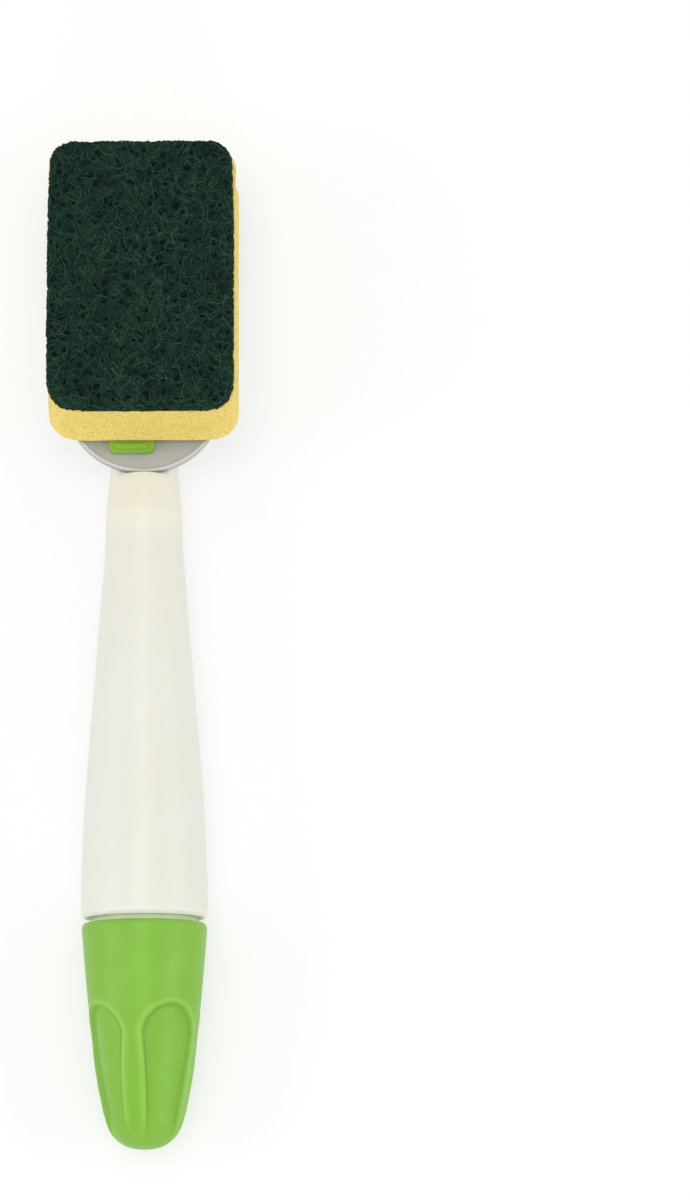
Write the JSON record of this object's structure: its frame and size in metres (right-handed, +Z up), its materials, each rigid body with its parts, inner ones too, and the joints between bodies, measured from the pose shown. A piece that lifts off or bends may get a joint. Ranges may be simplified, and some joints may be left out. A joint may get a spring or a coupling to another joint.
{
  "type": "dish wand",
  "caption": "Dish wand: hollow handle for washing-up liquid, fluted screw cap on its end, and a tilted head with an outlet valve and a hinged clip-on sponge with a scouring face.",
  "frame": {"origin": "on the surface that the wand lies on, under the middle of its length", "axes": "+Y along the handle from the cap to the sponge, +Z up with the sponge on top, +X to the right"},
  "size_m": [0.0548, 0.2914, 0.0559],
  "materials": {
    "tank": "milky, translucent, satin",
    "head_plate": "clear, a little frosted",
    "outlet_valve": "silicone, matt",
    "valve_retainer": "matt",
    "end_cap": "moulded, satin",
    "cap_seal": "matt",
    "refill_plate": "moulded, satin",
    "foam": "open-cell foam",
    "scourer": "bonded fibre web"
  },
  "bodies": {
    "handle": {"tank": "tank", "head_plate": "head_plate", "outlet_valve": "outlet_valve", "valve_retainer": "valve_retainer"},
    "seal": {"cap_seal": "cap_seal"},
    "cap": {"end_cap": "end_cap"},
    "refill": {"refill_plate": "refill_plate", "foam": "foam", "scourer": "scourer"}
  },
  "joints": [
    {"name": "cap_rise", "type": "slide", "parent": "handle", "child": "seal", "axis": [0, -1, 0], "range_m": [0, 0.0045]},
    {"name": "cap_turn", "type": "hinge", "parent": "seal", "child": "cap", "pos_m": [0, -0.08042, 0.0184], "axis": [0, -1, 0], "range_deg": [0, 540]},
    {"name": "refill_hinge", "type": "hinge", "parent": "handle", "child": "refill", "pos_m": [0, 0.13605, 0.0083], "axis": [-1, 0, 0], "range_deg": [0, 45]}
  ],
  "couplings": [
    {"joint": "cap_rise", "follows": "cap_turn", "m_per_rad": 0.00047746}
  ]
}
